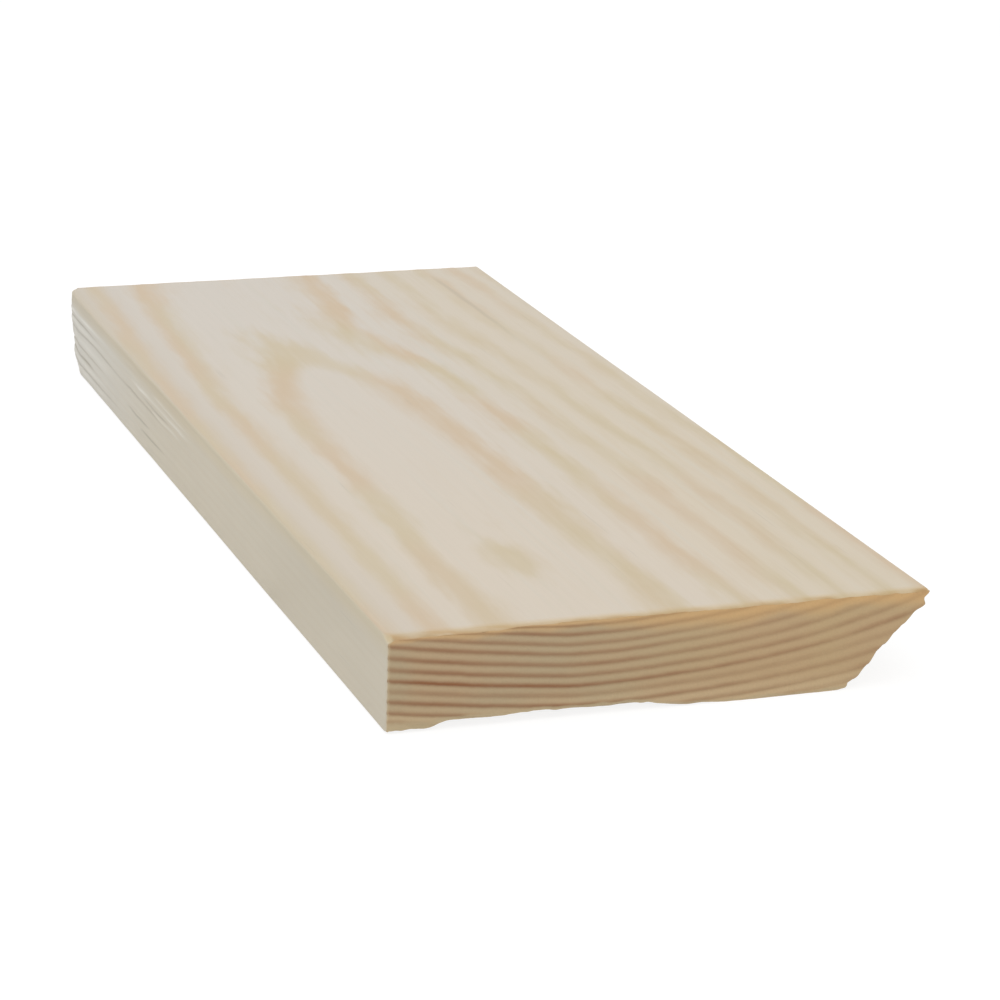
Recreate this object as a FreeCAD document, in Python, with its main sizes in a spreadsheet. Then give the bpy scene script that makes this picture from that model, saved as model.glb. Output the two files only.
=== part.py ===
"""Short length of softwood skirting board with one bevelled long edge.

One sawn and planed piece. It lies on its show face with its back up:
X runs across the board, from the square edge at -X to the bevelled edge at +X,
Y runs along the board, and the sawn end that faces -Y has a shallow tear-out under it,
Z runs up through the thickness, and Z = 0 is the surface that the show face lies on.
The origin is the middle of the board's footprint box. Lengths are in millimetres.
"""

import FreeCAD, Part
import math
import os

import Sketcher
from FreeCAD import Placement, Rotation, Vector

BOARD = "skirting_board"

# Driving sizes: name, value, what it is
SIZES = [
    ("board_width", 69.0, "full width, measured on the back face"),
    ("board_thickness", 12.0, "planed thickness"),
    ("board_length", 170.0, "length between the two sawn ends"),
    ("edge_land", 2.0, "square strip left between the back face and the bevel"),
    ("bevel_angle", 45.0, "degrees that the bevel leans from the thickness direction"),
    ("square_arris_radius", 0.8, "eased arrises of the square edge"),
    ("bevel_arris_radius", 1.5, "worn arris between the bevel and the show face"),
    ("tearout_centre", 20.0, "middle of the tear-out, from the square edge"),
    ("tearout_width", 37.0, "breadth of the tear-out at the sawn end"),
    ("tearout_depth", 1.1, "height of the tear-out at the sawn end"),
    ("tearout_reach", 5.0, "how far the tear-out runs in from the sawn end"),
]


def make_sheet(doc):
    """Spreadsheet of the driving sizes, one alias to a row."""
    sheet = doc.addObject("Spreadsheet::Sheet", "Sizes")
    for row, (alias, value, note) in enumerate(SIZES, start=1):
        sheet.set(f"A{row}", alias)
        sheet.set(f"B{row}", str(value))
        sheet.setAlias(f"B{row}", alias)
        sheet.set(f"C{row}", note)
    doc.recompute()
    return sheet


def origin_plane(body, role):
    """One of the body's own three base planes."""
    return next(o for o in body.Origin.OriginFeatures if o.Role == role)


def section_corners(sheet):
    """The five corners of the section in order round it, as (x, z)."""
    half_width = sheet.board_width / 2
    top = sheet.board_thickness
    bevel_rise = top - sheet.edge_land
    bevel_run = bevel_rise * math.tan(math.radians(sheet.bevel_angle))
    return {
        "square_foot": (-half_width, 0),
        "bevel_foot": (half_width - bevel_run, 0),
        "bevel_head": (half_width, bevel_rise),
        "land_head": (half_width, top),
        "square_head": (-half_width, top),
    }


def drive(sketch, name, constraint, formula):
    """Adds a constraint to the sketch and binds its size to a formula of the sheet's values."""
    index = sketch.addConstraint(constraint)
    sketch.renameConstraint(index, name)
    sketch.setExpression(f"Constraints.{name}", formula)


def make_section(body, sheet):
    """Closed five-sided section: show face, bevel, edge land, back face and square edge."""
    sketch = body.newObject("Sketcher::SketchObject", "section")
    sketch.AttachmentSupport = (origin_plane(body, "XZ_Plane"), [""])
    sketch.MapMode = "FlatFace"

    corners = [Vector(x, z, 0) for x, z in section_corners(sheet).values()]
    count = len(corners)
    show, bevel, land, back, square = (
        sketch.addGeometry(Part.LineSegment(corners[i], corners[(i + 1) % count]), False)
        for i in range(count)
    )
    start, end = 1, 2  # how Sketcher numbers the ends of a line
    x_axis, y_axis = -1, -2  # and its own two axes
    for side in range(count):
        sketch.addConstraint(Sketcher.Constraint("Coincident", side, end, (side + 1) % count, start))
    sketch.addConstraint(Sketcher.Constraint("PointOnObject", show, start, x_axis))
    sketch.addConstraint(Sketcher.Constraint("Horizontal", show))
    sketch.addConstraint(Sketcher.Constraint("Vertical", land))
    sketch.addConstraint(Sketcher.Constraint("Vertical", square))
    sketch.addConstraint(Sketcher.Constraint("Symmetric", back, start, back, end, y_axis))

    def span(direction, line, first, last):
        """A distance between a line's two ends, as drawn."""
        places = {start: corners[line], end: corners[(line + 1) % count]}
        reach = places[last] - places[first]
        drawn = reach.x if direction == "DistanceX" else reach.y
        return Sketcher.Constraint(direction, line, first, line, last, drawn)

    drive(sketch, "width", span("DistanceX", back, end, start), "Sizes.board_width * 1 mm")
    drive(sketch, "thickness", span("DistanceY", square, end, start), "Sizes.board_thickness * 1 mm")
    drive(sketch, "land", span("DistanceY", land, start, end), "Sizes.edge_land * 1 mm")
    drive(
        sketch,
        "bevel_run",
        span("DistanceX", bevel, start, end),
        "(Sizes.board_thickness - Sizes.edge_land) * tan(Sizes.bevel_angle * 1 deg) * 1 mm",
    )
    return sketch


def edges_along_board(shape, x, z):
    """Names of the straight edges that run the board's length through the point (x, z) of the section."""
    near = 0.01
    names = []
    for number, edge in enumerate(shape.Edges, start=1):
        ends = [v.Point for v in edge.Vertexes]
        if len(ends) == 2 and all(math.hypot(p.x - x, p.z - z) < near for p in ends):
            names.append(f"Edge{number}")
    return names


def ease(body, base, name, points, radius_formula):
    """Rounds the long arrises of base that pass through the given section points."""
    fillet = body.newObject("PartDesign::Fillet", name)
    names = [edge for x, z in points for edge in edges_along_board(base.Shape, x, z)]
    if len(names) != len(points):
        raise RuntimeError(f"{name}: found {len(names)} arrises, not {len(points)}")
    fillet.Base = (base, names)
    fillet.setExpression("Radius", radius_formula)
    body.Document.recompute()
    return fillet


def make_tearout(body, sheet, before):
    """Shallow scoop under the near end, where fibres broke away along a growth ring as the saw left the wood.

    It is the crown of a wide cylinder that dips from the sawn end into the show face.
    """
    sketch = body.newObject("Sketcher::SketchObject", "tearout_outline")
    sketch.AttachmentSupport = (origin_plane(body, "XZ_Plane"), [""])
    sketch.MapMode = "FlatFace"
    # The circle through both ends of the tear-out and its crown, which is the sketch's own origin
    drawn_radius = (sheet.tearout_width / 2) ** 2 / (2 * sheet.tearout_depth)
    circle = Part.Circle(Vector(0, -drawn_radius, 0), Vector(0, 0, 1), drawn_radius)
    crown = sketch.addGeometry(circle, False)
    start, centre = 1, 3  # how Sketcher numbers the points of an axis and a circle
    x_axis, y_axis = -1, -2
    sketch.addConstraint(Sketcher.Constraint("PointOnObject", crown, centre, y_axis))
    drive(
        sketch,
        "crown_radius",
        Sketcher.Constraint("Radius", crown, drawn_radius),
        "(pow(Sizes.tearout_width / 2; 2) + pow(Sizes.tearout_depth; 2)) / (2 * Sizes.tearout_depth) * 1 mm",
    )
    drive(
        sketch,
        "crown_drop",
        Sketcher.Constraint("DistanceY", crown, centre, x_axis, start, drawn_radius),
        "Constraints.crown_radius",
    )

    # The sketch's own axes are X and Z of the board, and its normal points along -Y.
    # Turned about -X, the cylinder sinks into the floor plane as it runs in along +Y.
    dip = math.degrees(math.atan(sheet.tearout_depth / sheet.tearout_reach))
    sketch.AttachmentOffset = Placement(Vector(0, 0, 0), Rotation(Vector(-1, 0, 0), dip))
    sketch.setExpression("AttachmentOffset.Base.x", "(Sizes.tearout_centre - Sizes.board_width / 2) * 1 mm")
    sketch.setExpression("AttachmentOffset.Base.y", "Sizes.tearout_depth * 1 mm")
    sketch.setExpression("AttachmentOffset.Base.z", "Sizes.board_length / 2 * 1 mm")
    sketch.setExpression(
        "AttachmentOffset.Rotation.Angle", "atan(Sizes.tearout_depth / Sizes.tearout_reach)"
    )
    body.Document.recompute()

    scoop = body.newObject("PartDesign::Pocket", "tearout")
    scoop.Profile = sketch
    scoop.SideType = "Symmetric"
    scoop.setExpression("Length", "4 * Sizes.tearout_reach * 1 mm")
    body.Document.recompute()
    if not scoop.Shape.Volume < before.Shape.Volume:
        raise RuntimeError("the tear-out removed nothing")
    return scoop


def make_board(doc, sheet):
    """The whole board as one body."""
    body = doc.addObject("PartDesign::Body", BOARD)
    body.Label = BOARD
    section = make_section(body, sheet)
    plank = body.newObject("PartDesign::Pad", "plank")
    plank.Profile = section
    plank.SideType = "Symmetric"
    plank.setExpression("Length", "Sizes.board_length * 1 mm")
    doc.recompute()

    corners = section_corners(sheet)
    square_arrises = [corners["square_foot"], corners["square_head"]]
    eased = ease(body, plank, "square_arrises", square_arrises, "Sizes.square_arris_radius * 1 mm")
    eased = ease(body, eased, "bevel_arris", [corners["bevel_foot"]], "Sizes.bevel_arris_radius * 1 mm")
    make_tearout(body, sheet, eased)
    return body


def check(doc, body):
    """Stops the script if any object failed or the board isn't one sound solid."""
    failed = [o.Name for o in doc.Objects if "Invalid" in o.State or "Error" in o.State]
    if failed:
        raise RuntimeError(f"these objects failed: {failed}")
    shape = body.Shape
    if shape.isNull() or not shape.isValid() or len(shape.Solids) != 1:
        raise RuntimeError(f"{body.Label} isn't one valid solid")


def main():
    doc = FreeCAD.newDocument("skirting_board_length")
    sheet = make_sheet(doc)
    board = make_board(doc, sheet)
    doc.recompute()
    check(doc, board)
    os.makedirs("parts", exist_ok=True)
    board.Shape.exportStep(f"parts/{board.Label}.step")
    box = board.Shape.optimalBoundingBox(False, False)
    size = f"{box.XLength:.2f} x {box.YLength:.2f} x {box.ZLength:.2f} mm"
    print(f"{board.Label}: {size}, {board.Shape.Volume:.0f} mm3")


main()
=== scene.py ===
# Looks of a short length of planed pine skirting board, bevelled along one edge.
# The shape functions work in millimetres, and every mesh is written in metres.

import bpy
import math
import numpy as np
from mathutils import Matrix, Vector


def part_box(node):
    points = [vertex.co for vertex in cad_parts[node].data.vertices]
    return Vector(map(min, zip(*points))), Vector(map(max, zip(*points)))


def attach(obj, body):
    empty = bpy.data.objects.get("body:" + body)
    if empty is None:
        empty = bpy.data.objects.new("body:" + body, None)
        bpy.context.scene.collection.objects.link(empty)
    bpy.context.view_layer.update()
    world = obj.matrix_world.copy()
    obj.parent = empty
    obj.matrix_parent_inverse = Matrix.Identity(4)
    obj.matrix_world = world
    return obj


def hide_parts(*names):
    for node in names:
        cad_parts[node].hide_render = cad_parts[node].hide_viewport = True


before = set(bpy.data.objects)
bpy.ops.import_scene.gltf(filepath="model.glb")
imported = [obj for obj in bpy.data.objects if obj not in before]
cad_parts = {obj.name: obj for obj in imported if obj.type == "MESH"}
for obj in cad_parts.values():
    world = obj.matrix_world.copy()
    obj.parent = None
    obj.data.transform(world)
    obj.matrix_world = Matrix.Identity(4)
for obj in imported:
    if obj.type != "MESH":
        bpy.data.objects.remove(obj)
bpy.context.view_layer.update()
mm = 0.001
print("frame loaded")


# Camera

camera = {
    "aim": (1.99, -20.12, 6.0),  # mm, what the middle of the picture shows
    "azimuth": -19.81,  # degrees, 0 looks along the board
    "elevation": 17.42,
    "roll": 1.78,
    "distance": 466.0,  # mm
    "focalLength": 123.66,  # mm
    "sensorWidth": 36.0,  # mm
    "clip": (0.02, 20.0),  # metres
}


def placeCamera(settings):
    # Stands back from the aim along the line of azimuth and elevation, then rolls about that line
    azimuth = math.radians(settings["azimuth"])
    elevation = math.radians(settings["elevation"])
    back = Vector((
        math.sin(azimuth) * math.cos(elevation),
        -math.cos(azimuth) * math.cos(elevation),
        math.sin(elevation),
    ))
    data = bpy.data.cameras.new("camera")
    data.lens = settings["focalLength"]
    data.sensor_width = settings["sensorWidth"]
    data.clip_start, data.clip_end = settings["clip"]
    holder = bpy.data.objects.new("camera", data)
    bpy.context.scene.collection.objects.link(holder)
    place = (Vector(settings["aim"]) + back * settings["distance"]) * mm
    facing = (-back).to_track_quat("-Z", "Y").to_matrix().to_4x4()
    roll = Matrix.Rotation(math.radians(settings["roll"]), 4, "Z")
    holder.matrix_world = Matrix.Translation(place) @ facing @ roll
    bpy.context.scene.camera = holder


placeCamera(camera)
print("camera placed")


# Small tools for whole arrays

def fade(low, high, x):
    # 0 below low, 1 above high, and the smooth cubic 3t2 - 2t3 between them
    t = np.clip((x - low) / (high - low), 0, 1)
    return t * t * (3 - 2 * t)


def hump(x, middle, spread):
    # bell curve of height 1: e to the power of minus the squared distance over the squared spread
    return np.exp(-(((x - middle) / spread) ** 2))


def cornerDraw(i, j, k, seed):
    # one fixed draw from 0 to 1 for each whole-number corner, mixed from its indices by large odd factors
    word = (i * 374761393 + j * 668265263 + k * 1274126177 + seed * 974634777) & 0xFFFFFFFF
    word = ((word ^ (word >> 13)) * 1274126177) & 0xFFFFFFFF
    return ((word ^ (word >> 16)) & 0xFFFFFF) / 0xFFFFFF


def drift(x, y, z, seed):
    # smooth noise from -1 to 1: the draws of the eight corners round each point, blended by smooth steps
    x, y, z = np.broadcast_arrays(x, y, z)
    lowest = [np.floor(c).astype(np.int64) for c in (x, y, z)]
    inside = [c - f for c, f in zip((x, y, z), lowest)]
    inside = [t * t * (3 - 2 * t) for t in inside]
    total = np.zeros(x.shape)
    for corner in range(8):
        step = [corner >> axis & 1 for axis in range(3)]
        share = 1.0
        for t, s in zip(inside, step):
            share = share * (t if s else 1 - t)
        total += share * cornerDraw(*(f + s for f, s in zip(lowest, step)), seed)
    return total * 2 - 1


def rough(noise, *place):
    # drift times a size, with a wavelength in mm for each coordinate that is given, and a seed
    size, lengths, seed = noise
    shares = [c / length for c, length in zip(place, lengths)]
    return size * drift(*shares, *[0] * (3 - len(shares)), seed)


def spread(count, gather):
    # count + 1 places from 0 to 1, closer together towards both ends as gather goes from 0 to 1
    t = np.linspace(-1, 1, count + 1)
    return ((1 - gather) * t + gather * np.sin(t * math.pi / 2)) / 2 + 0.5


# How the tree grew: one field of growth rings through the whole board

growth = {
    # How far each ring's dark wood lies under the back face, on the heart line at the near end, in mm, and
    # how dark it is. The first two were planed away there.
    "rings": (
        (-2.0, 0.6), (-0.75, 0.8), (0.57, 0.85), (1.71, 0.8), (2.98, 0.6), (4.13, 0.7), (5.52, 0.72),
        (6.83, 0.72), (8.12, 1.0), (9.33, 0.42), (10.55, 0.8), (11.88, 0.7), (12.86, 0.5), (14.3, 0.6),
        (15.6, 0.7), (17.0, 0.6), (18.4, 0.7),
    ),
    "heart": 24.0,  # mm from the square edge to the line that lay under the pith
    "blunt": 1.5,  # mm, how gently the rings turn over that line
    # The rings rise to both sides: mm out at which they have risen 1 mm, the curve's power, and the share
    # by which they are flatter for each mm of depth
    "left": {"reach": 8.18, "power": 1.14, "flatter": 0.02},
    "right": {"reach": 14.3, "power": 1.74, "flatter": 0.046},
    # They climb towards the far end: rise in mm, then where each climb starts and ends
    "climbs": ((0.17, 35, 110), (0.32, 101, 148), (0.29, 130, 175)),
    # One more climb on the right, by how far out from the heart line and how far along it sets in
    "rightClimb": {"rise": 0.32, "out": (12, 36), "along": (57, 92)},
    # A crown along the heart line, past the tongue
    "crown": {"rise": 0.48, "halfWidth": 7, "along": (121, 142)},
    # Just under the back face the rings dip on the left, within a skin of this depth
    "skin": {"dip": 0.57, "across": 10.6, "halfWidth": 11.4, "depth": 0.45},
    # Swells: rise in mm, then the middle and the half width across, and the same along the board
    "swells": (
        (0.57, 42.9, 15.0, 133.0, 19.1), (0.26, 31.8, 6.7, 127.0, 40.0), (0.12, 15.0, 3.0, 122.0, 12.0),
        (0.30, 20.5, 4.0, 125.0, 9.0), (0.30, 15.5, 3.5, 110.0, 11.0), (-0.20, 25.5, 3.5, 108.0, 9.0),
        (0.25, 30.5, 4.5, 120.0, 10.0), (0.12, 37.5, 3.0, 85.0, 22.0), (-0.12, 30.5, 3.0, 85.0, 22.0),
        (0.10, 12.0, 2.5, 72.0, 18.0), (-0.10, 17.5, 2.5, 72.0, 18.0), (0.14, 41.5, 2.5, 148.0, 10.0),
        (-0.10, 34.8, 2.5, 148.0, 10.0), (0.18, 22.0, 2.5, 119.0, 6.0), (0.16, 20.3, 2.0, 112.5, 7.0),
    ),
    # The island is a dent in the rings under the heart line, which leans across as it comes nearer
    "island": {
        "depth": 0.62,
        "across": 23.4,
        "halfWidth": 6.2,
        "along": 23.5,
        "halfLength": 9.6,
        "lean": 0.22,
        "under": 2.0,  # mm below the back face over which it fades out
    },
    # The rings wander. Here and below, such a noise is its size, its wavelengths in mm and a seed.
    "wanders": ((0.06, (13, 47, 13), 3), (0.04, (4.5, 21, 4.5), 4)),
    # The ring that the tongue shows turned dark late: counts taken off, round which count and how far from it
    "late": {"shift": 0.18, "middle": 1.63, "spread": 0.18},
    # Where the dark wood is darker or fainter: share gained, then the same four numbers as for the swells
    "shades": (
        (-0.55, 29.5, 4.0, 119.0, 9.0), (0.3, 18.5, 4.5, 116.0, 10.0), (-0.15, 34.0, 4.0, 83.0, 17.0),
        (-0.12, 15.0, 4.0, 68.0, 16.0), (0.15, 23.4, 6.0, 23.5, 10.0), (0.15, 45.0, 5.0, 90.0, 25.0),
    ),
    "darkens": (0.55, 0.97),  # part of a ring over which its wood turns dark
    "pales": (0.05, 0.2),  # and part of the next ring over which that ends
}


def boardPlace(x, y, z, b):
    # mm from the square edge, from the near end, and down from the back face
    return x + b["width"] / 2, y + b["length"] / 2, b["thickness"] - z


def spot(across, along, middle, halfWidth, place, halfLength):
    # a bell across the board times a bell along it
    return hump(across, middle, halfWidth) * hump(along, place, halfLength)


def grownWood(across, along, depth):
    # Growth in mm = depth + the rings' rise to the side + their climb towards the far end + the swells.
    # The rise is the distance from the heart line over the reach, to the power. Each climb is a smooth step.
    g = growth
    off = across - g["heart"]
    out = np.sqrt(off**2 + g["blunt"] ** 2) - g["blunt"]
    rise = 0
    for side, here in (("left", off < 0), ("right", off >= 0)):
        arc = g[side]
        rise = rise + np.where(here, (out / arc["reach"]) ** arc["power"] * (1 - arc["flatter"] * depth), 0)
    climb = sum(height * fade(start, end, along) for height, start, end in g["climbs"])
    right, crown, skin, island = g["rightClimb"], g["crown"], g["skin"], g["island"]
    climb = climb + right["rise"] * fade(*right["out"], off) * fade(*right["along"], along)
    swell = crown["rise"] * hump(off, 0, crown["halfWidth"]) * fade(*crown["along"], along)
    swell = swell + sum(height * spot(across, along, *place) for height, *place in g["swells"])
    dip = skin["dip"] * hump(across, skin["across"], skin["halfWidth"]) * hump(depth, 0, skin["depth"])
    leaning = across + island["lean"] * (along - island["along"])
    dent = spot(leaning, along, island["across"], island["halfWidth"], island["along"], island["halfLength"])
    return depth + rise + climb + swell - dip - island["depth"] * dent * hump(depth, 0, island["under"])


def ringField(x, y, z, b):
    # Each point's ring count and how dark its ring is: its growth and a wander, measured against the rings
    g = growth
    across, along, depth = boardPlace(x, y, z, b)
    grown = grownWood(across, along, depth) + sum(rough(noise, x, y, z) for noise in g["wanders"])
    depths, darkness = np.array(g["rings"]).T
    dark = np.interp(grown, depths, darkness)
    for gain, *place in g["shades"]:
        dark = dark * (1 + gain * spot(across, along, *place))
    count = np.interp(grown, depths, np.arange(len(depths)))
    late = g["late"]
    return count - late["shift"] * hump(count, late["middle"], late["spread"]), dark


def lateWood(x, y, z, b):
    # 0 in a ring's pale wood, and in its dark wood how dark the ring is: a slow rise before each whole count
    # and a quick fall after it
    count, dark = ringField(x, y, z, b)
    part = count - np.floor(count)
    return np.maximum(fade(*growth["darkens"], part), 1 - fade(*growth["pales"], part)) * dark


# The board's own mesh

board = {
    "cells": {"across": 180, "up": 96, "land": 16, "along": 110},  # land: those of up on the square strip
    "gather": {"across": 0.55, "up": 0.25, "along": 0.88},  # how much they crowd towards both ends of a row
    "landHeight": 2.0,  # mm
    "arrisRadius": {
        "squareFoot": 0.35,
        "bevelFoot": 1.3,
        "bevelHead": 0.6,
        "landHead": 0.15,
        "squareHead": 0.4,
    },
    "inset": 0.04,  # mm that the flat faces lie inside the planed size, so that raised grain stays within it
    "endInset": 0.05,  # mm, the same for the sawn ends
    # On each long face, mm that dark wood stands proud, and the power by which the face ends at its arrises
    "proud": {"back": 0.015, "show": 0.02, "square": 0.01, "bevel": 0.06},
    "ending": {"back": 2, "show": 4, "square": 2, "bevel": 6},
    "waves": (0.025, (9, 30, 9), 11),  # on all of them
    "bevelScratches": (0.03, (1.1, 9, 1.1), 12),
    # Torn grain on the far half of the square edge
    "tornGrain": {
        "from": (85, 125),  # mm along, where it sets in
        "rough": (0.04, (1, 7, 0.55), 23),
        # Strokes: depth below the back face, start, end, half width and height or cut, in mm
        "ridges": (
            (2.55, 142, 188, 0.24, 0.13), (4.15, 143, 184, 0.30, 0.08), (3.3, 90, 127, 0.22, 0.10),
            (2.3, 90, 115, 0.18, 0.07), (4.6, 96, 115, 0.20, 0.08), (6.2, 136, 186, 0.60, 0.06),
            (9.5, 140, 176, 0.30, 0.08), (10.8, 140, 170, 0.40, 0.06),
        ),
        "grooves": (
            (0.75, 18, 138, 0.18, 0.02), (0.9, 142, 190, 0.75, 0.02), (3.5, 143, 190, 0.14, 0.13),
            (5.0, 98, 186, 0.18, 0.11), (4.1, 102, 121, 0.13, 0.11), (7.3, 142, 180, 0.15, 0.13),
            (7.9, 114, 129, 0.15, 0.10), (8.7, 144, 186, 0.22, 0.14), (9.2, 105, 121, 0.16, 0.10),
            (10.2, 132, 178, 0.16, 0.10),
        ),
        "seeds": {"ridges": 21, "grooves": 22},
        # How they waver aside, in mm, and how far their height is broken, as a share of it. Each has its
        # wavelength in mm and the step in the noise from one stroke to the next.
        "wavers": ((0.16, 11, 3.7), (0.09, 3.1, 5.3)),
        "broken": (0.35, 6, 2.9),
        "fadeIn": (0, 0.3),  # shares of a stroke's length
        "fadeOut": (0.8, 1),
    },
    # How far any sawn arris is chipped, in mm: the least, and patches and two sizes of fibres, each with its
    # wavelength in mm
    "chips": {"least": 0.05, "patches": (0.20, 5.5), "fibres": ((0.06, 1.3), (0.04, 0.6))},
    # Splintered arrises, in mm. Their ends give the share at the near end and mm that it reaches along, and
    # the same for the far end.
    "splinters": {
        "back": {
            "ends": ((1, 0.9), (0.2, 0.8)),
            "seed": 31,
            "worn": 0.07,  # worn away besides at the near end
            "corner": 0.2,  # and more towards the square edge, between these places across
            "cornerFrom": (17, 9),
        },
        "show": {
            "ends": ((1, 0.7), (0.5, 0.7)),
            "seed": 34,
            "shift": 50,  # along the chips' noise
            "spared": 0.93,  # share that is left out towards the bevel, from these places across
            "sparedFrom": (36, 46),
            "notch": (0.3, 59, 1.2),  # cut, middle and half width, at the foot of the bevel
            "notchReach": 1.5,
        },
        "bevel": {
            "ends": ((1, 1.6), (0.4, 1.0)),
            "under": (0.2, 0.9),  # depths over which it sets in below the back arris
            "least": 0.03,
            "pale": 0.22,  # more in pale wood
            "rough": (0.08, (0.55, 2), 36),
            # Outline at the near end: cuts that set in between two depths, and bites at one depth, of which
            # the first stands out
            "steps": ((0.45, 0.3, 1.2), (0.6, 2.0, 3.2), (0.35, 10.4, 12)),
            "bites": ((-0.3, 9.3, 1.8), (0.3, 7.6, 1.5)),
            "reach": 4,
        },
        "square": {"ends": ((1, 0.45), (1.3, 1.1)), "pale": 0.18},
    },
    # The tear-out under the near end, placed in mm from the square edge
    "tearOut": {
        "height": 0.98,  # mm
        "reach": 5.0,  # mm along the board
        "corner": 0.33,  # share of the height that it has at the square edge
        "rise": (4.5, 8.0),
        "fall": (30.5, 39.0),
        # A crest and a dip in it: share of the height, middle and half width
        "bumps": ((0.18, 19.0, 3.5), (-0.2, 26.5, 3)),
        "fibres": ((0.08, (2.7, 2.2), 41), (0.06, (0.9, 1.3), 42)),
        "fibresIn": 0.25,  # share of the height over which its broken fibres set in
    },
    # The far end of the square edge is worn in: mm at least, and more in steps between two depths
    "wear": {
        "least": 0.22,
        "steps": ((0.4, 4, 8), (0.7, 10, 12)),
        "along": (160, 169),
        "arris": (1.1, 1.2),  # more at the sawn arris, and the half width of that
        "within": 7,  # mm from the square edge
    },
    "knock": {"size": 0.9, "reach": 4},  # mm cut off the near end's corner beside the square edge
    "sink": 0.09,  # mm that pale wood lies behind dark wood on a sawn end
    "sawn": 0.06,  # mm that the whole end lies behind its highest fibres
    "sawMarks": ((0.03, (0.6, 1, 2.3), 51), (0.03, (7, 1, 7), 52)),
    "sinkReach": 2.5,  # mm along the board over which the long faces follow the end
    # Bruised gold fibres on the back face beside the sawn ends, even or in blotches that are stronger on the
    # right
    "bruise": {
        "ends": ((1, 2.3), (0.15, 0.8)),
        "strength": 0.85,
        "even": 0.8,
        "blotches": (1, (2.1, 2), 35),
        "blotchy": (0.15, 0.25),  # share, and what is added to it from these places across
        "blotchyFrom": (25, 50),
    },
    # And down the sawn ends, where the gold is bruised fibres and also a painted highlight of the chipped
    # arris that faces the light: mm that it reaches, the least share of that, where across it grows to the
    # whole, and the part of its reach over which it fades out
    "gold": {"reach": 2.4, "least": 0.32, "grows": (2, 52), "uneven": (0.4, (5,), 61), "edge": (0.1, 1)},
    # Frayed pale fibres along the foot of the ends, and in mm beside the square edge
    "frayedFoot": {
        "reach": 0.4,
        "corner": (1.0, 1, 6),  # mm more, its middle and half width
        "uneven": (0.2, (1.5,), 63),
        "edge": (0.4, 1),
        "strength": 0.9,
    },
    "frayedSide": {"edge": (0.05, 0.25), "strength": 0.6},
    "farShare": 0.5,  # the saw left the far end cleaner than the near one
    # mm of splintering, nicks, tear-out, stroke and knock at which each mark is full
    "full": {"splinters": 0.5, "nicks": 0.3, "tearOut": 0.15, "strokes": 0.14, "knock": 0.25},
    "squareFrom": (0.6, 0.98),  # how far a face has to look left to count as the square edge
    "warmth": (0.5, (7, 20, 7), 94),  # slow patches in which the wood is warmer or cooler, about a half
    "crease": 50,  # degrees between two faces from which their edge is sharp
}
lowCorner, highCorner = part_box("skirting_board")
board["width"], board["length"], board["thickness"] = ((highCorner - lowCorner) / mm)[:]


def roundedCorner(points, corner, before, after, radius):
    # Points nearer the corner than the arc's tangents slide onto the arc, straight from its centre
    toBefore = (before - corner) / np.hypot(*(before - corner))
    toAfter = (after - corner) / np.hypot(*(after - corner))
    half = math.acos(float(np.clip(toBefore @ toAfter, -1, 1))) / 2
    inward = (toBefore + toAfter) / np.hypot(*(toBefore + toAfter))
    centre = corner + inward * radius / math.sin(half)
    near = np.hypot(*(points - corner).T) < radius / math.tan(half)
    arm = points[near] - centre
    points[near] = centre + arm * (radius / np.hypot(*arm.T))[:, None]


def sectionLoop(b):
    # The section's outline as one closed loop: show face, bevel and land, back face, square edge. Each is a
    # straight run of points between two corners. Outwards is square to the line between a point's neighbours.
    cells, gather = b["cells"], b["gather"]
    half = b["width"] / 2 - b["inset"]
    foot, head = b["inset"], b["thickness"] - b["inset"]
    landFoot = head - b["landHeight"]
    corners = {
        "squareFoot": (-half, foot),
        "bevelFoot": (half - (landFoot - foot), foot),
        "bevelHead": (half, landFoot),
        "landHead": (half, head),
        "squareHead": (-half, head),
    }
    corners = {name: np.array(place) for name, place in corners.items()}
    names = list(corners)
    across, up = spread(cells["across"], gather["across"]), spread(cells["up"], gather["up"])
    bevel = np.linspace(0, 1, cells["up"] - cells["land"] + 1)
    land = np.linspace(0, 1, cells["land"] + 1)
    runs = []
    for i, places in enumerate((across, bevel, land, across, up)):
        start, end = corners[names[i]], corners[names[(i + 1) % len(names)]]
        runs.append(start + (end - start) * places[:-1, None])
    points = np.concatenate(runs)
    for i, name in enumerate(names):
        before, after = corners[names[i - 1]], corners[names[(i + 1) % len(names)]]
        roundedCorner(points, corners[name], before, after, b["arrisRadius"][name])
    tangent = np.roll(points, -1, 0) - np.roll(points, 1, 0)
    outward = np.stack([tangent[:, 1], -tangent[:, 0]], 1)
    outward /= np.hypot(*outward.T)[:, None]
    return points, outward


def faceShares(outX, outZ, b):
    # How much a point belongs to each long face: how far it looks that face's way, to the face's power
    looks = {"back": outZ, "show": -outZ, "square": -outX, "bevel": (outX - outZ) / math.sqrt(2)}
    return {name: np.clip(look, 0, 1) ** b["ending"][name] for name, look in looks.items()}


def atEnds(along, ends, b):
    # A share at each sawn end that fades out smoothly within its reach
    (near, nearReach), (far, farReach) = ends
    return near * fade(nearReach, 0, along) + far * fade(farReach, 0, b["length"] - along)


def steps(sizes, x):
    # sum of smooth steps, each from nothing to its size between two places
    return sum(size * fade(start, end, x) for size, start, end in sizes)


def bumps(sizes, x):
    # sum of bells, each with its size, middle and half width
    return sum(size * hump(x, middle, halfWidth) for size, middle, halfWidth in sizes)


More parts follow.
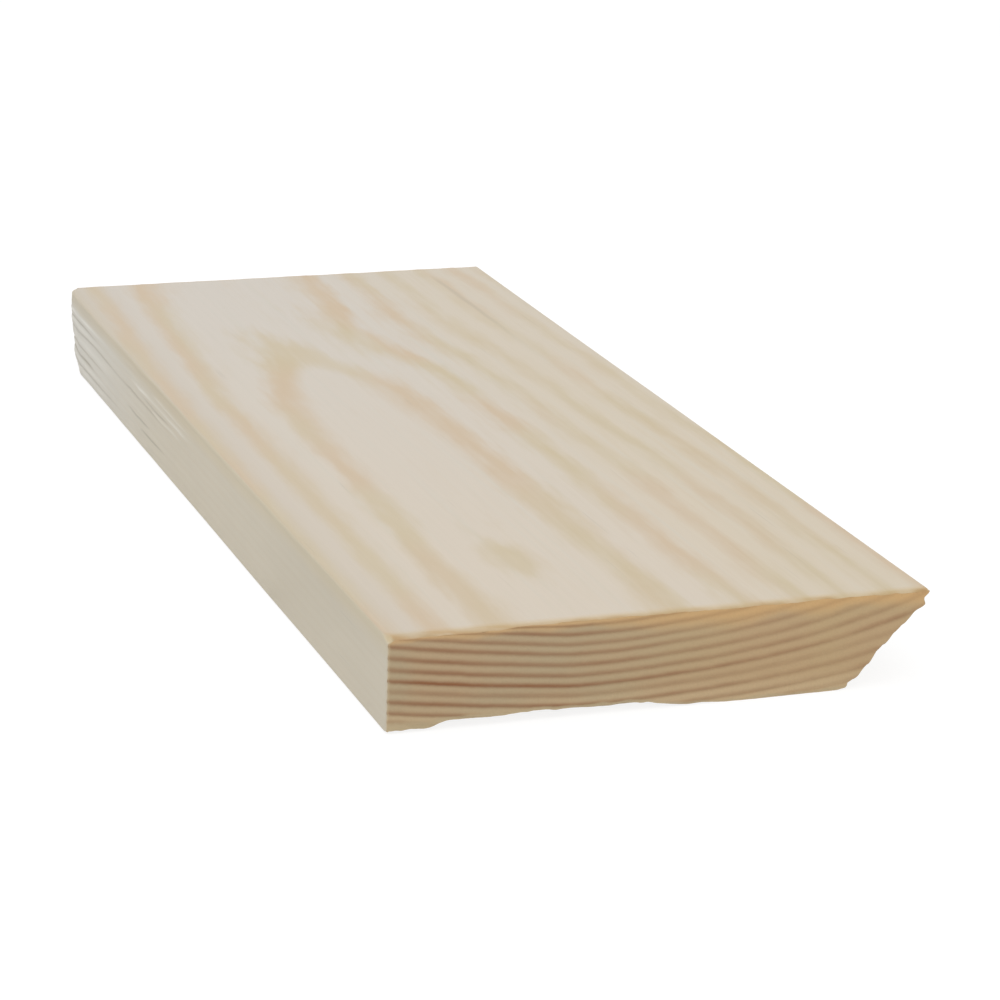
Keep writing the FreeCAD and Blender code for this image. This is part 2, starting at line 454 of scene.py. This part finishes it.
def edgeStrokes(kind, depth, along, t):
    # Long strokes on the square edge: each is a bell across its wavering line, fades in and out along it and
    # is broken by a slow noise
    seed = t["seeds"][kind]
    total = np.zeros(np.broadcast(depth, along).shape)
    for number, (middle, start, end, halfWidth, amount) in enumerate(t[kind]):
        for size, length, step in t["wavers"]:
            middle = middle + size * drift(along / length, number * step, 0, seed)
        run = (along - start) / (end - start)
        fullness = fade(*t["fadeIn"], run) * (1 - fade(*t["fadeOut"], run))
        share, length, step = t["broken"]
        fullness = fullness * (1 - share + share * drift(along / length, number * step, 1, seed))
        total += amount * fullness * hump(depth, middle, halfWidth)
    return total


def chipDepth(x, seed, b):
    # How far splintering eats into a sawn arris: a little everywhere, more in patches and by single fibres
    chips = b["chips"]
    size, length = chips["patches"]
    depth = chips["least"] + np.maximum(0, size * drift(x / length, 0, 0, seed))
    for number, (size, length) in enumerate(chips["fibres"], start=1):
        depth = depth + size * drift(x / length, 0, 0, seed + number)
    return depth


def tearOutDepth(x, along, b):
    # Height of the tear-out above the show face: level across its middle, running out along the board, and
    # roughened by broken fibres
    t = b["tearOut"]
    across = x + b["width"] / 2
    shape = t["corner"] + (1 - t["corner"]) * fade(*t["rise"], across) - fade(*t["fall"], across)
    shape = shape + bumps(t["bumps"], across)
    smooth = t["height"] * (shape - along / t["reach"])
    fibres = sum(rough(noise, x, along) for noise in t["fibres"])
    return np.maximum(smooth + fibres * fade(0, t["fibresIn"], shape), 0)


def splinteredArrises(x, y, z, late, b):
    # How far each long face is broken back beside the sawn ends, in mm: chips along the back and the show
    # face, fibres and an outline in steps on the bevel, and nicks in the pale wood of the square edge
    across, along, depth = boardPlace(x, y, z, b)
    back, show, bevel, square = (b["splinters"][name] for name in ("back", "show", "bevel", "square"))
    nearReach = back["ends"][0][1]
    worn = (back["worn"] + back["corner"] * fade(*back["cornerFrom"], across)) * fade(nearReach, 0, along)
    chips = chipDepth(x, back["seed"], b) * atEnds(along, back["ends"], b)
    lowChips = chipDepth(x + show["shift"], show["seed"], b) * atEnds(along, show["ends"], b)
    lowChips = lowChips * (1 - show["spared"] * fade(*show["sparedFrom"], across))
    notch = bumps((show["notch"],), across) * fade(show["notchReach"], 0, along)
    fibres = bevel["least"] + bevel["pale"] * (1 - late) + rough(bevel["rough"], z, x)
    fibres = fade(*bevel["under"], depth) * fibres * atEnds(along, bevel["ends"], b)
    outline = (steps(bevel["steps"], depth) + bumps(bevel["bites"], depth)) * fade(bevel["reach"], 0, along)
    nicks = square["pale"] * (1 - late) * atEnds(along, square["ends"], b)
    return worn + chips, lowChips + notch, fibres + outline, nicks


def longRelief(x, y, z, outX, outZ, b):
    # Outward move of each point of the long faces, in mm, and its marks. A mark is from 0 to 1, but raised
    # runs from -1 in a groove to 1 on a ridge.
    across, along, depth = boardPlace(x, y, z, b)
    face = faceShares(outX, outZ, b)
    late = lateWood(x, y, z, b)
    proud = late * sum(b["proud"][name] * share for name, share in face.items())
    grain = proud + rough(b["waves"], x, y, z) + face["bevel"] * rough(b["bevelScratches"], x, y, z)
    torn = b["tornGrain"]
    raised = edgeStrokes("ridges", depth, along, torn) - edgeStrokes("grooves", depth, along, torn)
    tornEdge = face["square"] * (raised + fade(*torn["from"], along) * rough(torn["rough"], 0, y, z))

    chips, lowChips, splinters, nicks = splinteredArrises(x, y, z, late, b)
    lowChips = lowChips * face["show"]
    splinters = splinters * np.clip(outX, 0, 1)
    nicks = nicks * face["square"]
    scoop = tearOutDepth(x, along, b) * np.clip(-outZ, 0, 1)
    move = grain + tornEdge - chips * face["back"] - lowChips - splinters - nicks - scoop

    bruise, full = b["bruise"], b["full"]
    left, right = bruise["blotchy"]
    blotchy = left + right * fade(*bruise["blotchyFrom"], across)
    blotch = bruise["even"] + blotchy * rough(bruise["blotches"], x, y)
    bruised = atEnds(along, bruise["ends"], b) * np.clip(outZ, 0, 1) * blotch
    frayed = (lowChips + splinters) / full["splinters"] + nicks / full["nicks"] + scoop / full["tearOut"]
    marks = {
        "fringe": bruised * bruise["strength"],
        "frayed": np.clip(frayed, 0, 1),
        "squareEdge": np.broadcast_to(fade(*b["squareFrom"], -outX), x.shape),
        # raised also sets where painted shade goes into the grooves and a painted highlight onto the ridges
        "raised": np.clip(raised / full["strokes"], -1, 1) * face["square"],
        "endGrain": np.zeros(x.shape),
    }
    return move, marks


def wornCorners(x, y, z, b):
    # Moves across and up, in mm. The far end of the square edge is worn in, most at its foot. The near end
    # has lost its corner under the back face, cut off by a slanting plane.
    across, along, depth = boardPlace(x, y, z, b)
    wear, knock = b["wear"], b["knock"]
    size, within = wear["arris"]
    worn = (wear["least"] + steps(wear["steps"], depth)) * fade(*wear["along"], along)
    worn = (worn + size * hump(b["length"] - along, 0, within)) * fade(wear["within"], 0, across)
    aslant = np.maximum(0, knock["size"] * fade(knock["reach"], 0, along) - across - depth) / 2
    return worn + aslant, -aslant


def endSink(x, z, facing, b):
    # How far each point of a sawn end is set back, in mm: pale wood sinks, dark wood stands, and the saw's
    # marks run over both
    late = lateWood(x, facing * b["length"] / 2, z, b)
    marks = sum(rough(noise, x, facing, z) for noise in b["sawMarks"])
    return b["sink"] * (1 - late) + marks + b["sawn"]


def coons(bottom, right, top, left):
    # Blend of four border curves: both pairs of facing curves, less the plane of the four corners
    a = np.linspace(0, 1, len(bottom))[:, None, None]
    u = np.linspace(0, 1, len(left))[None, :, None]
    sides = (1 - u) * bottom[:, None] + u * top[:, None] + (1 - a) * left[None] + a * right[None]
    corners = (1 - a) * ((1 - u) * bottom[0] + u * top[0]) + a * ((1 - u) * bottom[-1] + u * top[-1])
    return sides - corners


def endMarks(sheet, facing, b):
    # Marks of a sawn end: gold under the back arris, which is bruised fibres and also a painted highlight
    # where the chipped arris faces the light, deeper towards the bevel, and frayed pale wood along the foot
    # and beside the square edge
    x, z = sheet[..., 0], sheet[..., 2]
    under, above = z[:, -1:] - z, z - z[:, :1]
    across = x + b["width"] / 2
    gold, foot, side = b["gold"], b["frayedFoot"], b["frayedSide"]
    goldReach = gold["reach"] * (gold["least"] + (1 - gold["least"]) * fade(*gold["grows"], across))
    goldReach = goldReach * (1 + rough(gold["uneven"], x))
    footReach = foot["reach"] + bumps((foot["corner"],), across) + rough(foot["uneven"], x)
    frayedFoot = foot["strength"] * (1 - fade(*foot["edge"], above / footReach))
    frayedSide = side["strength"] * (1 - fade(*side["edge"], x - x[:1]))
    strength = 1.0 if facing < 0 else b["farShare"]
    return {
        "fringe": strength * (1 - fade(*gold["edge"], under / goldReach)),
        "frayed": strength * np.maximum(frayedFoot, frayedSide),
        "squareEdge": np.zeros(x.shape),
        "raised": np.zeros(x.shape),
        "endGrain": np.ones(x.shape),
    }


def longFaces(b):
    # The section's loop carried along the board: each row's places with their relief, and their marks
    loop, outward = sectionLoop(b)
    outX, outZ = outward.T
    along = (spread(b["cells"]["along"], b["gather"]["along"]) * 2 - 1) * (b["length"] / 2 - b["endInset"])
    shape = (len(along), len(loop))
    x, z = (np.broadcast_to(loop[:, axis], shape) for axis in range(2))
    y = np.broadcast_to(along[:, None], shape)
    move, marks = longRelief(x, y, z, outX, outZ, b)
    aside, lift = wornCorners(x, y, z, b)
    marks["frayed"] = np.maximum(marks["frayed"], np.clip(-lift / b["full"]["knock"], 0, 1))
    marks["endGrain"][[0, -1]] = 1
    points = np.stack([x + outX * move + aside, y, z + outZ * move + lift], 2)
    for row, facing in ((0, -1), (-1, 1)):
        fromEnd = np.abs(along[row] - along)[:, None]
        sink = endSink(points[row, :, 0], points[row, :, 2], facing, b)
        points[..., 1] -= facing * sink * fade(b["sinkReach"], 0, fromEnd)
    return points, marks


def sawnEnd(rim, rimIds, firstId, facing, b):
    # One sawn end: the blend of its rim's four sides, set back by its own sink, and its grid of corner
    # numbers, which are the rim's round the outside and new ones within
    na, nb = b["cells"]["across"], b["cells"]["up"]
    around = np.append(np.arange(len(rim)), 0)
    bottom, right = around[: na + 1], around[na : na + nb + 1]
    top, left = around[na + nb : 2 * na + nb + 1][::-1], around[2 * na + nb :][::-1]
    sheet = coons(rim[bottom], rim[right], rim[top], rim[left])
    sink = endSink(sheet[..., 0], sheet[..., 2], facing, b)
    sheet[..., 1] = facing * (b["length"] / 2 - b["endInset"] - sink)
    grid = np.empty((na + 1, nb + 1), int)
    grid[:, 0], grid[-1, :], grid[:, -1], grid[0, :] = (rimIds[side] for side in (bottom, right, top, left))
    grid[1:-1, 1:-1] = (firstId + np.arange((na - 1) * (nb - 1))).reshape(na - 1, nb - 1)
    return sheet, grid


def quads(*corners):
    # four-sided faces from four arrays of corner numbers
    return np.stack(corners, -1).reshape(-1, 4)


def boardMesh(b):
    # The long faces, closed by a sheet at each sawn end, with every corner kept inside the planed size
    points, marks = longFaces(b)
    ids = np.arange(marks["frayed"].size).reshape(marks["frayed"].shape)
    turned = np.roll(ids, -1, 1)
    faces = [quads(ids[:-1], turned[:-1], turned[1:], ids[1:])]
    places = [points.reshape(-1, 3)]
    values = {name: [mark.reshape(-1)] for name, mark in marks.items()}
    for row, facing in ((0, -1), (-1, 1)):
        sheet, grid = sawnEnd(points[row], ids[row], sum(map(len, places)), facing, b)
        end = quads(grid[:-1, :-1], grid[1:, :-1], grid[1:, 1:], grid[:-1, 1:])
        faces.append(end if facing < 0 else end[:, ::-1])
        places.append(sheet[1:-1, 1:-1].reshape(-1, 3))
        for name, mark in endMarks(sheet, facing, b).items():
            values[name].append(mark[1:-1, 1:-1].reshape(-1))
    low = (-b["width"] / 2, -b["length"] / 2, 0)
    high = (b["width"] / 2, b["length"] / 2, b["thickness"])
    places = np.clip(np.concatenate(places), low, high)
    return places, np.concatenate(faces), {name: np.concatenate(parts) for name, parts in values.items()}


def meshPiece(name, places, faces, values, crease):
    # Writes whole arrays into a mesh: corners in metres, four-sided faces, and one number per corner for each
    # value. Edges sharper than the crease stay sharp.
    mesh = bpy.data.meshes.new(name)
    mesh.vertices.add(len(places))
    mesh.vertices.foreach_set("co", (places * mm).astype(np.float32).ravel())
    mesh.loops.add(faces.size)
    mesh.loops.foreach_set("vertex_index", faces.astype(np.int32).ravel())
    mesh.polygons.add(len(faces))
    mesh.polygons.foreach_set("loop_start", np.arange(0, faces.size, faces.shape[1], dtype=np.int32))
    mesh.update(calc_edges=True)
    mesh.validate()
    for label, numbers in values.items():
        mesh.attributes.new(label, "FLOAT", "POINT").data.foreach_set("value", numbers.astype(np.float32))
    mesh.polygons.foreach_set("use_smooth", np.ones(len(faces), bool))
    mesh.set_sharp_from_angle(angle=math.radians(crease))
    piece = bpy.data.objects.new(name, mesh)
    bpy.context.scene.collection.objects.link(piece)
    return piece


places, faces, values = boardMesh(board)
values["ringCount"], values["ringDark"] = ringField(*places.T, board)
values["warmth"] = 0.5 + rough(board["warmth"], *places.T)
boardPiece = meshPiece("planed_board", places, faces, values, board["crease"])
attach(boardPiece, "root")
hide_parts("skirting_board")
print("board shaped:", len(places), "corners,", len(faces) * 2, "triangles")


# Shader tools

class Wire:
    # A node's output that Python sums and products turn into Math nodes
    def __init__(self, finish, socket):
        self.finish = finish
        self.socket = socket

    def math(self, operation, *others):
        return self.finish.node("ShaderNodeMath", {"operation": operation}, [self, *others])

    def __add__(self, other):
        return self.math("ADD", other)

    def __sub__(self, other):
        return self.math("SUBTRACT", other)

    def __rsub__(self, other):
        return self.finish.node("ShaderNodeMath", {"operation": "SUBTRACT"}, [other, self])

    def __mul__(self, other):
        return self.math("MULTIPLY", other)

    __radd__ = __add__
    __rmul__ = __mul__


class Finish:
    # The nodes of one material or world under construction: adds nodes and joins them
    def __init__(self, owner):
        owner.use_nodes = True
        self.tree = owner.node_tree
        self.tree.nodes.clear()

    def node(self, kind, settings=None, inputs=None, output=0):
        made = self.tree.nodes.new(kind)
        for name, value in (settings or {}).items():
            if name == "stops":
                self.setStops(made.color_ramp, value)
            else:
                setattr(made, name, value)
        pairs = inputs.items() if isinstance(inputs, dict) else enumerate(inputs or [])
        for key, value in pairs:
            if isinstance(value, Wire):
                self.tree.links.new(value.socket, made.inputs[key])
            else:
                made.inputs[key].default_value = value
        return Wire(self, made.outputs[output]) if made.outputs else None

    def setStops(self, ramp, stops):
        while len(ramp.elements) < len(stops):
            ramp.elements.new(0.5)
        for element, (place, shade) in zip(ramp.elements, stops):
            element.position = place
            element.color = shade if isinstance(shade, tuple) else (shade, shade, shade, 1)

    def ramp(self, value, stops):
        return self.node("ShaderNodeValToRGB", {"stops": stops}, [value])

    def mix(self, share, first, second, blend="MIX"):
        # the node's own numbers: socket 0 is the share, 6 and 7 are the colours, and output 2 is their mix
        settings = {"data_type": "RGBA", "blend_type": blend, "clamp_factor": True}
        return self.node("ShaderNodeMix", settings, {0: share, 6: first, 7: second}, output=2)

    def between(self, value, low, high):
        # 0 below low, 1 above high, smooth between: the sockets are value, from low, from high, to 0, to 1
        settings = {"interpolation_type": "SMOOTHSTEP"}
        return self.node("ShaderNodeMapRange", settings, {0: value, 1: low, 2: high, 3: 0.0, 4: 1.0})

    def noise(self, place, scale, detail, roughness):
        # noise from 0 to 1, scaled on each axis by itself: how many features fit in a millimetre
        where = self.node("ShaderNodeVectorMath", {"operation": "MULTIPLY"}, [place, scale])
        inputs = {"Vector": where, "Scale": 1.0, "Detail": detail, "Roughness": roughness}
        return self.node("ShaderNodeTexNoise", {}, inputs)

    def stored(self, name):
        return self.node("ShaderNodeAttribute", {"attribute_name": name}, output=2)


def tone(red, green, blue):
    # linear colour from the 0 to 255 values that a picture shows
    shares = [c / 255 for c in (red, green, blue)]
    return tuple(c / 12.92 if c <= 0.04045 else ((c + 0.055) / 1.055) ** 2.4 for c in shares) + (1.0,)


# Planed pine

pine = {
    "pale": tone(212, 204, 193),  # early wood on the planed faces
    "paleNear": tone(215, 203, 186),  # how it warms towards the near end
    "paleRight": tone(213, 200, 178),  # and towards the bevelled edge
    "band": tone(203, 187, 155),  # late wood on the planed faces, in two hues that take turns in slow patches
    "bandWarm": tone(206, 185, 157),
    "cool": tone(206, 204, 192),  # streaks along the grain
    "arris": tone(203, 190, 166),  # the strip of the back face beside the square edge
    "left": tone(198, 188, 174),  # and the duller wood that it fades into
    "resin": tone(170, 157, 136),  # one thin dark line along the grain
    "edge": tone(212, 203, 184),  # the square edge, a little greyer, with a tan strip along its head
    "edgeFar": tone(217, 213, 203),
    "edgeHead": tone(214, 201, 172),
    "edgeHeadFar": tone(205, 191, 162),
    # Painted shade laid into the grooves of the torn grain, and a painted highlight laid onto its ridges
    "grooveShade": tone(160, 152, 135),
    "ridgeHighlight": tone(246, 243, 235),
    "endLeft": tone(192, 172, 138),  # early wood on the sawn ends, from the square edge to the bevelled one
    "endRight": tone(203, 176, 133),
    "endFoot": tone(224, 200, 160),
    "endWarm": tone(201, 170, 132),
    "endDark": tone(147, 98, 62),  # late wood on the sawn ends
    "gold": tone(222, 181, 126),  # bruised fibres below the back arris, made lighter as a painted highlight where the chipped arris faces the light
    "frayed": tone(205, 186, 150),  # broken fibres
    # How bruised fibres tint the back face towards its arris
    "bruise": (
        (0.0, tone(255, 255, 255)), (0.12, tone(254, 251, 245)), (0.38, tone(251, 244, 228)),
        (0.6, tone(241, 226, 198)), (0.78, tone(222, 196, 152)),
    ),
    # How dark the wood looks from one whole ring count to the next. A planed face cuts the rings aslant, so
    # its bands are broad and soft. A sawn end shows narrower lines.
    "bandStops": (
        (0.0, 1.0), (0.10, 0.92), (0.19, 0.62), (0.28, 0.22), (0.37, 0.0), (0.56, 0.0), (0.68, 0.18),
        (0.81, 0.55), (0.93, 0.90), (1.0, 1.0),
    ),
    "lineStops": (
        (0.0, 1.0), (0.06, 0.97), (0.15, 0.75), (0.24, 0.42), (0.33, 0.15), (0.42, 0.02), (0.52, 0.0),
        (0.68, 0.20), (0.80, 0.58), (0.90, 0.90), (1.0, 1.0),
    ),
    # Zones that set in smoothly between two places, in mm from the board's middle or above the floor
    "zones": {
        "far": ("along", -85.0, 85.0),
        "right": ("across", -22.0, 20.0),
        "fadedRight": ("across", 8.0, 25.0),
        "fadedFar": ("along", -20.0, 30.0),
        "paleRight": ("across", 3.0, 22.0),
        "pastLeft": ("across", -34.5, -22.0),
        "pastArris": ("across", -34.0, -31.5),
        "edgeFar": ("along", 10.0, 80.0),
        "edgeHeadFar": ("along", -20.0, 30.0),
        "aboveFoot": ("up", 0.3, 3.6),
        "resinStart": ("along", 33.0, 60.0),
        "resinEnd": ("along", 74.0, 82.0),
    },
    # Noises, first those about 0 and then those from 0 to 1: features in a millimetre across, along and up,
    # then detail and roughness. Fibres run along the board, so the noises are long that way.
    "swings": {
        "waver": ((0.30, 0.03, 0.30), 3.0, 0.5),
        "ragged": ((0.55, 0.11, 0.55), 3.0, 0.5),
        "fine": ((1.9, 0.10, 1.9), 2.0, 0.5),
        "ripple": ((0.2, 0.12, 0.2), 2.0, 0.5),
        "patches": ((0.2, 0.07, 0.5), 3.0, 0.5),
        "strands": ((1.0, 0.06, 1.0), 3.0, 0.5),
    },
    "noises": {
        "fibre": ((3.2, 0.045, 3.2), 4.0, 0.6),
        "streak": ((0.9, 0.012, 0.9), 3.0, 0.5),
        "canal": ((2.4, 0.05, 2.4), 1.0, 0.5),
        "mottle": ((0.3, 0.09, 0.3), 3.0, 0.5),
        "pore": ((3.5, 0.4, 3.5), 3.0, 0.6),
    },
    "shift": {"waver": 0.14, "fine": 0.055, "ripple": 0.45, "ragged": 0.4},  # ring counts that the noises add
    # How strong bands and lines are: an even share, and what else adds to it
    "bandDark": {"even": 0.35, "dark": 0.65},
    "patchy": {"even": 0.8, "warmth": 0.4, "patches": 0.4, "patchesRight": 1.2},
    "stranded": {"even": 0.15, "right": 0.75},
    "bandFades": {"squareEdge": 0.9, "right": 0.3},
    "lineDark": {"even": 0.92, "right": -0.5},
    "goldHides": 0.4,  # share of the lines that the gold hides
    # Windows of a noise or a place over which something sets in
    "warmFrom": (0.3, 0.7),
    "streakFrom": (0.5, 0.8),
    "canalFrom": (0.74, 0.80),
    "edgeHeadFrom": (9.0, 11.0),  # mm above the floor, wavering by this many mm
    "edgeHeadWaver": 2.0,
    "resinPlace": 25.1,  # mm to the right of the middle, wavering aside, and mm over which it fades out
    "resinWaver": 2.5,
    "resinEdge": (0.1, 0.6),
    # The most that each colour is laid over what is under it
    "laid": {
        "paleRight": 0.85,
        "cool": 0.3,
        "left": 0.4,
        "arris": 0.45,
        "edgeHead": 0.6,
        "resin": 0.3,
        # strokes: how far the painted shade in the grooves and the painted highlight on the ridges are laid
        "strokes": 0.9,
        "endWarm": 0.5,
        "endFoot": 0.6,
        "gold": 0.6,
        "frayed": 0.7,
    },
    # What is added to that: towards the far end, towards the right, and in the pores
    "laidMore": {"paleRight": -0.25, "gold": 0.3, "frayed": 0.5},
    # Brightness: an even share, and what the noises add
    "planedBright": {"even": 0.97, "fibre": 0.06, "canal": -0.07},
    "edgeBright": {"even": 0.965, "mottle": 0.07},
    "endBright": {"even": 0.94, "pore": 0.12},
    "relief": {"fibre": 0.012, "band": 0.008, "line": 0.03, "pore": 0.04},  # mm
    "roughness": {"even": 0.62, "endGrain": 0.2, "band": -0.06},
}


def weighed(weights, **wires):
    # the even share, or else nothing, plus each wire times its weight
    return sum((wire * weights[name] for name, wire in wires.items()), weights.get("even", 0.0))


def ringLines(wood, zone, noise, mark, p):
    # The stored ring count wavers a little, and its fraction runs from one dark line to the next. The bands
    # of the planed faces are ragged and stranded too, and paler on the square edge and at the far right.
    ripple = noise["ripple"] * zone["right"] * zone["far"]
    count = mark["ringCount"] + weighed(p["shift"], waver=noise["waver"], fine=noise["fine"], ripple=ripple)
    band = wood.ramp((count + noise["ragged"] * p["shift"]["ragged"]).math("FRACT"), p["bandStops"])
    line = wood.ramp(count.math("FRACT"), p["lineStops"])
    patches = {"patches": noise["patches"], "patchesRight": noise["patches"] * zone["right"]}
    patchy = weighed(p["patchy"], warmth=mark["warmth"], **patches)
    strands = noise["strands"] * weighed(p["stranded"], right=zone["right"])
    band = band * weighed(p["bandDark"], dark=mark["ringDark"]) * patchy + strands
    band = band * (1 - mark["squareEdge"] * p["bandFades"]["squareEdge"])
    band = band * (1 - zone["fadedRight"] * zone["fadedFar"] * p["bandFades"]["right"])
    return band, line * mark["ringDark"] * patchy * weighed(p["lineDark"], right=zone["right"])


def planedColour(wood, across, up, zone, noise, mark, band, p):
    # Early wood in its zones on the back face and on the square edge, the bands over both, then the resin
    # line, painted shade in the grooves and painted highlight on the ridges of the torn strokes, the fibres,
    # and the tint of bruised fibres last
    laid, more = p["laid"], p["laidMore"]
    pale = wood.mix(zone["far"], p["paleNear"], p["pale"])
    right = zone["paleRight"] * (laid["paleRight"] + zone["far"] * more["paleRight"])
    pale = wood.mix(right, pale, p["paleRight"])
    pale = wood.mix(wood.between(noise["streak"], *p["streakFrom"]) * laid["cool"], pale, p["cool"])
    pale = wood.mix((1 - zone["pastLeft"]) * laid["left"], pale, p["left"])
    pale = wood.mix((1 - zone["pastArris"]) * laid["arris"], pale, p["arris"])
    edge = wood.mix(zone["edgeFar"], p["edge"], p["edgeFar"])
    edgeHead = wood.mix(zone["edgeHeadFar"], p["edgeHead"], p["edgeHeadFar"])
    head = wood.between(up + noise["waver"] * p["edgeHeadWaver"], *p["edgeHeadFrom"])
    edge = wood.mix(head * laid["edgeHead"], edge, edgeHead)
    edge = wood.mix(1.0, edge, weighed(p["edgeBright"], mottle=noise["mottle"]), "MULTIPLY")

    bandTone = wood.mix(wood.between(mark["warmth"], *p["warmFrom"]), p["band"], p["bandWarm"])
    planed = wood.mix(band, wood.mix(mark["squareEdge"], pale, edge), bandTone)
    aside = (across - p["resinPlace"] + noise["waver"] * p["resinWaver"]).math("ABSOLUTE")
    resin = (1 - wood.between(aside, *p["resinEdge"])) * zone["resinStart"] * (1 - zone["resinEnd"])
    planed = wood.mix(resin * (1 - mark["squareEdge"]) * laid["resin"], planed, p["resin"])
    # painted shade in the grooves of the torn grain, then a painted highlight on its ridges
    planed = wood.mix(mark["raised"] * -laid["strokes"], planed, p["grooveShade"])
    planed = wood.mix(mark["raised"] * laid["strokes"], planed, p["ridgeHighlight"])
    canal = wood.between(noise["canal"], *p["canalFrom"])
    bright = weighed(p["planedBright"], fibre=noise["fibre"], canal=canal)
    planed = wood.mix(1.0, planed, bright, "MULTIPLY")
    return wood.mix(1.0, planed, wood.ramp(mark["fringe"], p["bruise"]), "MULTIPLY")


def endColour(wood, zone, noise, mark, line, p):
    # Early wood in its zones, gold under the back arris (bruised fibres and a painted highlight), the ring
    # lines over both, then the pores
    laid, more = p["laid"], p["laidMore"]
    fringe = mark["fringe"]
    end = wood.mix(zone["right"], p["endLeft"], p["endRight"])
    end = wood.mix(wood.between(mark["warmth"], *p["warmFrom"]) * laid["endWarm"], end, p["endWarm"])
    end = wood.mix((1 - zone["aboveFoot"]) * laid["endFoot"], end, p["endFoot"])
    # gold under the back arris: bruised fibres, lightened as a painted highlight of the chipped arris
    end = wood.mix(fringe * (laid["gold"] + zone["right"] * more["gold"]), end, p["gold"])
    end = wood.mix(line * (1 - fringe * p["goldHides"]), end, p["endDark"])
    return wood.mix(1.0, end, weighed(p["endBright"], pore=noise["pore"]), "MULTIPLY")


def planedPine(p):
    material = bpy.data.materials.new("planed_pine")
    wood = Finish(material)
    here = wood.node("ShaderNodeTexCoord", output="Object")
    place = wood.node("ShaderNodeVectorMath", {"operation": "SCALE"}, {0: here, "Scale": 1 / mm})
    axes = ("across", "along", "up")
    axis = {name: wood.node("ShaderNodeSeparateXYZ", {}, [place], output=i) for i, name in enumerate(axes)}
    zone = {name: wood.between(axis[way], low, high) for name, (way, low, high) in p["zones"].items()}
    noise = {name: wood.noise(place, *settings) for name, settings in p["noises"].items()}
    for name, settings in p["swings"].items():
        noise[name] = wood.noise(place, *settings) - 0.5
    stored = ("ringCount", "ringDark", "warmth", "squareEdge", "raised", "fringe", "frayed", "endGrain")
    mark = {name: wood.stored(name) for name in stored}

    band, line = ringLines(wood, zone, noise, mark, p)
    planed = planedColour(wood, axis["across"], axis["up"], zone, noise, mark, band, p)
    end = endColour(wood, zone, noise, mark, line, p)
    colour = wood.mix(mark["endGrain"], planed, end)
    frayed = mark["frayed"] * (p["laid"]["frayed"] + noise["pore"] * p["laidMore"]["frayed"])
    colour = wood.mix(frayed, colour, p["frayed"])

    endRelief = weighed(p["relief"], line=line, pore=noise["pore"])
    height = weighed(p["relief"], fibre=noise["fibre"], band=band) + mark["endGrain"] * endRelief
    bump = wood.node("ShaderNodeBump", {}, {"Strength": 1.0, "Distance": mm, "Height": height})
    dull = weighed(p["roughness"], endGrain=mark["endGrain"], band=band)
    inputs = {"Base Color": colour, "Roughness": dull, "Normal": bump}
    shader = wood.node("ShaderNodeBsdfPrincipled", {}, inputs)
    wood.node("ShaderNodeOutputMaterial", {}, {"Surface": shader})
    return material


boardPiece.data.materials.append(planedPine(pine))
print("wood finished")


# Studio: a pale floor, an even sky and one large soft lamp overhead

studio = {
    "sky": 0.58,  # strength of the even light from all round
    "lampPower": 7.2,  # watts
    "lampSize": 1.4,  # metres
    "lampPlace": (-0.25, -0.2, 1.1),
    "floorTone": 0.85,
    "floorGlow": 0.75,  # share of plain white in the floor as the picture shows it, which lightens its shadow
    "floorWhite": 1.14,  # strength of that white, which makes up for the paint's grey
    "floorSize": 6.0,  # metres
    "white": (1, 1, 1, 1),
}


def seenDirectly(finish):
    # 1 for camera rays and for mirror reflections, 0 for the light that falls on things
    rays = ("Is Camera Ray", "Is Glossy Ray")
    camera, glossy = (finish.node("ShaderNodeLightPath", output=ray) for ray in rays)
    return camera + glossy


def paleFloor(s):
    # A square whose matt paint the camera and reflections see mixed with white
    half = s["floorSize"] / 2
    corners = np.array([(-half, -half, 0), (half, -half, 0), (half, half, 0), (-half, half, 0)]) / mm
    floor = meshPiece("floor", corners, np.array([[0, 1, 2, 3]]), {}, board["crease"])
    material = bpy.data.materials.new("floor_paint")
    paint = Finish(material)
    matt = paint.node("ShaderNodeBsdfDiffuse", {}, {"Color": (s["floorTone"],) * 3 + (1.0,)})
    white = paint.node("ShaderNodeEmission", {}, {"Color": s["white"], "Strength": s["floorWhite"]})
    shown = paint.node("ShaderNodeMixShader", {}, [seenDirectly(paint) * s["floorGlow"], matt, white])
    paint.node("ShaderNodeOutputMaterial", {}, {"Surface": shown})
    floor.data.materials.append(material)


def evenSky(s):
    # White to the camera and in reflections, and an even light of the set strength to everything else
    world = bpy.data.worlds.new("studio")
    bpy.context.scene.world = world
    sky = Finish(world)
    strength = s["sky"] + seenDirectly(sky) * (1 - s["sky"])
    light = sky.node("ShaderNodeBackground", {}, {"Color": s["white"], "Strength": strength})
    sky.node("ShaderNodeOutputWorld", {}, {"Surface": light})


def softLamp(s):
    # A square lamp that faces the middle of the floor
    data = bpy.data.lights.new("overhead", "AREA")
    data.size = s["lampSize"]
    data.energy = s["lampPower"]
    lamp = bpy.data.objects.new("overhead", data)
    bpy.context.scene.collection.objects.link(lamp)
    place = Vector(s["lampPlace"])
    lamp.matrix_world = Matrix.Translation(place) @ (-place).to_track_quat("-Z", "Y").to_matrix().to_4x4()


paleFloor(studio)
evenSky(studio)
softLamp(studio)
bpy.context.scene.view_settings.view_transform = "Standard"
print("studio lit")
